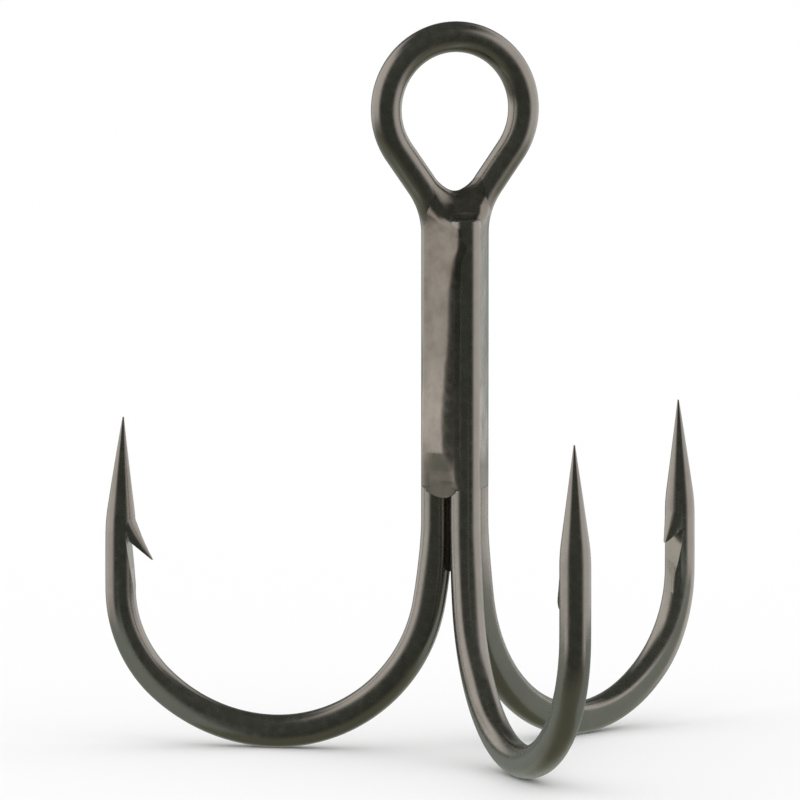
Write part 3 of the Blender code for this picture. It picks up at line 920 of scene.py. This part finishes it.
# Stops of the colours along a noise, from its low to its high values
WIRE_COLOURS = ((0.30, (0.335, 0.315, 0.29)), (0.52, (0.37, 0.352, 0.32)), (0.72, (0.35, 0.34, 0.30)))
BRAZE_COLOURS = ((0.28, (0.25, 0.225, 0.19)), (0.5, (0.33, 0.305, 0.27)), (0.75, (0.37, 0.345, 0.31)))
WIRE_ROUGHNESS = (0.20, 0.29)
BRAZE_ROUGHNESS = (0.18, 0.28)
GRAIN_RANGE = (0.3, 0.7)

# Painted highlight: the braze's colour is brightened in a band above its lower end, and the braze is
# duller below, at heights in metres
PAINTED_HIGHLIGHT_TOP = (-0.0125, -0.0155)
PAINTED_HIGHLIGHT_BOTTOM = (-0.0185, -0.0175)
PAINTED_HIGHLIGHT_GAIN = (0.90, 1.22)
DULL_END = (-0.0165, -0.0190)
DULL_END_ROUGHNESS = 0.14


def new_metal(name):
    """A plain metal: the material, its shader, a helper for its nodes and the place on the object."""
    material = bpy.data.materials.new(name)
    material.use_nodes = True
    nodes = Nodes(material.node_tree)
    shader = material.node_tree.nodes["Principled BSDF"]
    shader.inputs["Metallic"].default_value = 1.0
    place = nodes.add("ShaderNodeTexCoord").outputs["Object"]
    return material, shader, nodes, place


def black_nickel():
    """Smooth black nickel over drawn steel wire, with faint draw lines and cloudy tarnish."""
    material, shader, nodes, place = new_metal("black_nickel")
    links = material.node_tree.links
    cloud = nodes.noise(place, scale=420.0, detail=4.0)
    links.new(nodes.ramp(cloud, WIRE_COLOURS), shader.inputs["Base Color"])
    grain = nodes.noise(place, scale=2600.0, detail=3.0)
    links.new(nodes.range(grain, *GRAIN_RANGE, *WIRE_ROUGHNESS), shader.inputs["Roughness"])
    wire = nodes.add("ShaderNodeUVMap", uv_map="wire").outputs["UV"]
    along = nodes.add("ShaderNodeMapping", {"Vector": wire, "Scale": (40.0, 3.0, 1.0)}).outputs["Vector"]
    draw_lines = nodes.noise(along, scale=1.0, detail=3.0)
    lines = nodes.bump(draw_lines, strength=0.25, distance=0.000004)
    surface = nodes.bump(grain, strength=0.25, distance=0.000003, normal=lines)
    links.new(surface, shader.inputs["Normal"])
    return material


def plated_braze():
    """The same plating over cast braze: duller, browner and finely pitted."""
    material, shader, nodes, place = new_metal("plated_braze")
    links = material.node_tree.links
    cloud = nodes.noise(place, scale=900.0, detail=5.0)
    colour = nodes.ramp(cloud, BRAZE_COLOURS)
    height = nodes.add("ShaderNodeSeparateXYZ", {"Vector": place}).outputs["Z"]
    # Painted highlight: the base colour is brightened in a band above the braze's lower end
    highlight_top = nodes.smooth(height, *PAINTED_HIGHLIGHT_TOP)
    painted_highlight = nodes.math("MULTIPLY", highlight_top, nodes.smooth(height, *PAINTED_HIGHLIGHT_BOTTOM))
    share = nodes.range(painted_highlight, 0.0, 1.0, *PAINTED_HIGHLIGHT_GAIN)
    highlighted_colour = nodes.add("ShaderNodeVectorMath", {0: colour, "Scale": share}, operation="SCALE").outputs[0]
    links.new(highlighted_colour, shader.inputs["Base Color"])
    grain = nodes.noise(place, scale=3000.0, detail=4.0)
    dull = nodes.math("MULTIPLY", nodes.smooth(height, *DULL_END), DULL_END_ROUGHNESS)
    rough = nodes.math("ADD", nodes.range(grain, *GRAIN_RANGE, *BRAZE_ROUGHNESS), dull)
    links.new(rough, shader.inputs["Roughness"])
    dents = nodes.bump(cloud, strength=0.5, distance=0.000014)
    surface = nodes.bump(grain, strength=0.4, distance=0.00001, normal=dents)
    links.new(surface, shader.inputs["Normal"])
    return material


def pale_floor_material():
    material = bpy.data.materials.new("pale_floor")
    material.use_nodes = True
    shader = material.node_tree.nodes["Principled BSDF"]
    shader.inputs["Base Color"].default_value = (0.86, 0.86, 0.86, 1.0)
    shader.inputs["Roughness"].default_value = 0.9
    shader.inputs["Specular IOR Level"].default_value = 0.0
    return material


# ---- Floor, light and camera ----------------------------------------------------------------
#
# The studio is described as the metal sees it: azimuths in degrees round from the camera, positive to
# its right, and elevations in degrees.  A pair of numbers is where a band of light starts and ends, or
# where it fades in.

LEFT_BOX_AZIMUTHS = (-142.0, -56.0)
LEFT_BOX_ELEVATIONS = (-13.0, 51.0)
LEFT_BOX_LIGHT = (0.86, 0.81, 0.79)
RIGHT_BOX_AZIMUTHS = (59.0, 154.0)
RIGHT_BOX_ELEVATIONS = (-19.0, 47.0)
RIGHT_BOX_LIGHT = (0.80, 0.76, 0.75)
BOX_SIDE_SOFTNESS = 14.0
BOX_END_SOFTNESS = 9.0
WALL_FADE = (95.0, 165.0)
WALL_ELEVATIONS = (-45.0, 18.0)
WALL_SOFTNESS = 18.0
WALL_LIGHT = (0.20, 0.235, 0.235)
FLOOR_EDGE_AZIMUTHS = (20.0, 90.0)
FLOOR_EDGE_ELEVATIONS = (-30.0, -12.0)
FLOOR_FADE = (-8.0, 22.0)
FLOOR_LIGHT = (0.115, 0.112, 0.080)
SIDE_FLOOR_FADE = (30.0, 110.0)
SIDE_FLOOR_ELEVATIONS = (-75.0, -35.0)
SIDE_FLOOR_LIGHT = (0.095, 0.097, 0.087)
ROOM_LIGHT = (0.050, 0.056, 0.045)
PLAIN_STRENGTH = 1.16

# The low cards: how far to the side each stands, its near and far end and its height over the floor
LOW_CARDS = ((18.0, 20.0, -14.0, 7.2), (-24.0, 20.0, -30.0, 5.0))
CARD_DEPTH_BELOW = 14.0
CARD_LIGHT = (0.317, 0.350, 0.322)
FLOOR_HALF_SIZE_M = 6.0


def make_floor():
    """A pale floor under the three bends, on which the hook stands."""
    half = FLOOR_HALF_SIZE_M
    mesh = bmesh.new()
    corners = ((-half, -half), (half, -half), (half, half), (-half, half))
    mesh.faces.new([mesh.verts.new((x, y, cad_box[0].z)) for x, y in corners])
    data = mesh_from("floor", mesh)
    data.materials.append(pale_floor_material())
    floor = linked_object("floor", data)
    floor.visible_glossy = False


def soft_band(nodes, value, low, high, softness):
    """1 between low and high and 0 outside, with edges that fade over twice the softness."""
    rise = nodes.smooth(value, low - softness, low + softness)
    fall = nodes.smooth(value, high + softness, high - softness)
    return nodes.math("MULTIPLY", rise, fall)


def softbox(nodes, azimuth, elevation, azimuths, elevations):
    """A rectangle of light with soft edges."""
    sides = soft_band(nodes, azimuth, *azimuths, BOX_SIDE_SOFTNESS)
    return nodes.math("MULTIPLY", sides, soft_band(nodes, elevation, *elevations, BOX_END_SOFTNESS))


def add_light(nodes, colour, share, light):
    """colour + share * light, where light is a constant and colour may be one."""
    scaled = nodes.add("ShaderNodeVectorMath", {0: light, "Scale": share}, operation="SCALE")
    added = nodes.add("ShaderNodeVectorMath", {0: colour, 1: scaled.outputs[0]}, operation="ADD")
    return added.outputs[0]


def make_studio():
    """Soft studio surroundings.  The floor is lit by plain white; what the metal reflects is a dim
    room with a big softbox on either side of the camera, a dim grey floor and a grey back wall."""
    world = bpy.data.worlds.new("studio")
    bpy.context.scene.world = world
    world.use_nodes = True
    tree = world.node_tree
    tree.nodes.clear()
    nodes = Nodes(tree)
    direction = nodes.add("ShaderNodeTexCoord").outputs["Generated"]
    to_view = (0.0, 0.0, math.radians(-VIEW_AZIMUTH))
    turned = nodes.add("ShaderNodeMapping", {"Vector": direction, "Rotation": to_view})
    parts = nodes.add("ShaderNodeSeparateXYZ", {"Vector": turned.outputs["Vector"]}).outputs
    towards_camera = nodes.math("MULTIPLY", parts["Y"], -1.0)
    azimuth = nodes.degrees(nodes.math("ARCTAN2", parts["X"], towards_camera))
    elevation = nodes.degrees(nodes.math("ARCSINE", parts["Z"]))
    turned_away = nodes.math("ABSOLUTE", azimuth)

    left_box = softbox(nodes, azimuth, elevation, LEFT_BOX_AZIMUTHS, LEFT_BOX_ELEVATIONS)
    right_box = softbox(nodes, azimuth, elevation, RIGHT_BOX_AZIMUTHS, RIGHT_BOX_ELEVATIONS)
    wall_height = soft_band(nodes, elevation, *WALL_ELEVATIONS, WALL_SOFTNESS)
    wall = nodes.math("MULTIPLY", nodes.smooth(turned_away, *WALL_FADE), wall_height)
    floor_edge = nodes.range(turned_away, *FLOOR_EDGE_AZIMUTHS, *FLOOR_EDGE_ELEVATIONS)
    floor = nodes.smooth(nodes.math("SUBTRACT", floor_edge, elevation), *FLOOR_FADE)
    side_floor = nodes.math("MULTIPLY", floor, nodes.smooth(turned_away, *SIDE_FLOOR_FADE))
    side_floor = nodes.math("MULTIPLY", side_floor, nodes.smooth(elevation, *SIDE_FLOOR_ELEVATIONS))

    room = add_light(nodes, ROOM_LIGHT, floor, FLOOR_LIGHT)
    room = add_light(nodes, room, side_floor, SIDE_FLOOR_LIGHT)
    room = add_light(nodes, room, wall, WALL_LIGHT)
    room = add_light(nodes, room, left_box, LEFT_BOX_LIGHT)
    room = add_light(nodes, room, right_box, RIGHT_BOX_LIGHT)
    reflected = nodes.add("ShaderNodeBackground", {"Color": room, "Strength": 1.0})
    plain = nodes.add("ShaderNodeBackground", {"Color": (1.0, 1.0, 1.0, 1.0), "Strength": PLAIN_STRENGTH})
    glossy = nodes.add("ShaderNodeLightPath").outputs["Is Glossy Ray"]
    mix = nodes.add("ShaderNodeMixShader", {0: glossy, 1: plain.outputs[0], 2: reflected.outputs[0]})
    nodes.add("ShaderNodeOutputWorld", {"Surface": mix.outputs[0]})


def glowing(name, colour):
    """A surface that only gives off a little light of one colour."""
    material = bpy.data.materials.new(name)
    material.use_nodes = True
    shader = material.node_tree.nodes["Principled BSDF"]
    shader.inputs["Base Color"].default_value = (0.0, 0.0, 0.0, 1.0)
    shader.inputs["Specular IOR Level"].default_value = 0.0
    shader.inputs["Emission Color"].default_value = (*colour, 1.0)
    shader.inputs["Emission Strength"].default_value = 1.0
    return material


def reflected_only(name, mesh, material):
    """Studio equipment that the camera doesn't see: only the metal does."""
    data = mesh_from(name, mesh)
    data.materials.append(material)
    obj = linked_object(name, data)
    obj.visible_camera = False
    obj.visible_diffuse = False
    obj.visible_shadow = False


def make_low_cards():
    """A low grey card on either side of the hook, standing along the view direction."""
    right = polar(VIEW_AZIMUTH)
    towards = polar(VIEW_AZIMUTH - 90.0)
    base = Vector((0.0, SHANK_AXIS_Y, cad_box[0].z / MM))
    low = -CARD_DEPTH_BELOW
    mesh = bmesh.new()
    for sideways, near, far, height in LOW_CARDS:
        corners = ((near, low), (far, low), (far, height), (near, height))
        places = [base + right * sideways + towards * t + Vector((0.0, 0.0, h)) for t, h in corners]
        mesh.faces.new([mesh.verts.new(place * MM) for place in places])
    reflected_only("low_cards", mesh, glowing("grey_card", CARD_LIGHT))


def make_camera():
    azimuth = math.radians(VIEW_AZIMUTH)
    elevation = math.radians(VIEW_ELEVATION)
    right = Vector((math.cos(azimuth), math.sin(azimuth), 0.0))
    back = Vector(
        (
            math.sin(azimuth) * math.cos(elevation),
            -math.cos(azimuth) * math.cos(elevation),
            math.sin(elevation),
        )
    )
    aim = Vector((0.0, SHANK_AXIS_Y, AIM_Z)) + right * AIM_SIDEWAYS
    data = bpy.data.cameras.new("camera")
    data.sensor_width = 36.0
    data.lens = VIEW_LENS
    data.clip_start = 0.01
    data.clip_end = 20.0
    camera = linked_object("camera", data)
    camera.location = (aim + back * VIEW_DISTANCE) * MM
    camera.rotation_mode = "QUATERNION"
    camera.rotation_quaternion = (-back).to_track_quat("-Z", "Y")
    bpy.context.scene.camera = camera


def main():
    bpy.context.scene.view_settings.view_transform = "Standard"
    wire = black_nickel()
    braze = plated_braze()
    wires = [make_eyed_double_hook(), make_single_hook()]
    brazes = make_brazes()
    for piece, material in [(p, wire) for p in wires] + [(p, braze) for p in brazes]:
        piece.data.materials.clear()
        piece.data.materials.append(material)
        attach(piece, "root")
    make_floor()
    make_low_cards()
    make_studio()
    make_camera()


main()
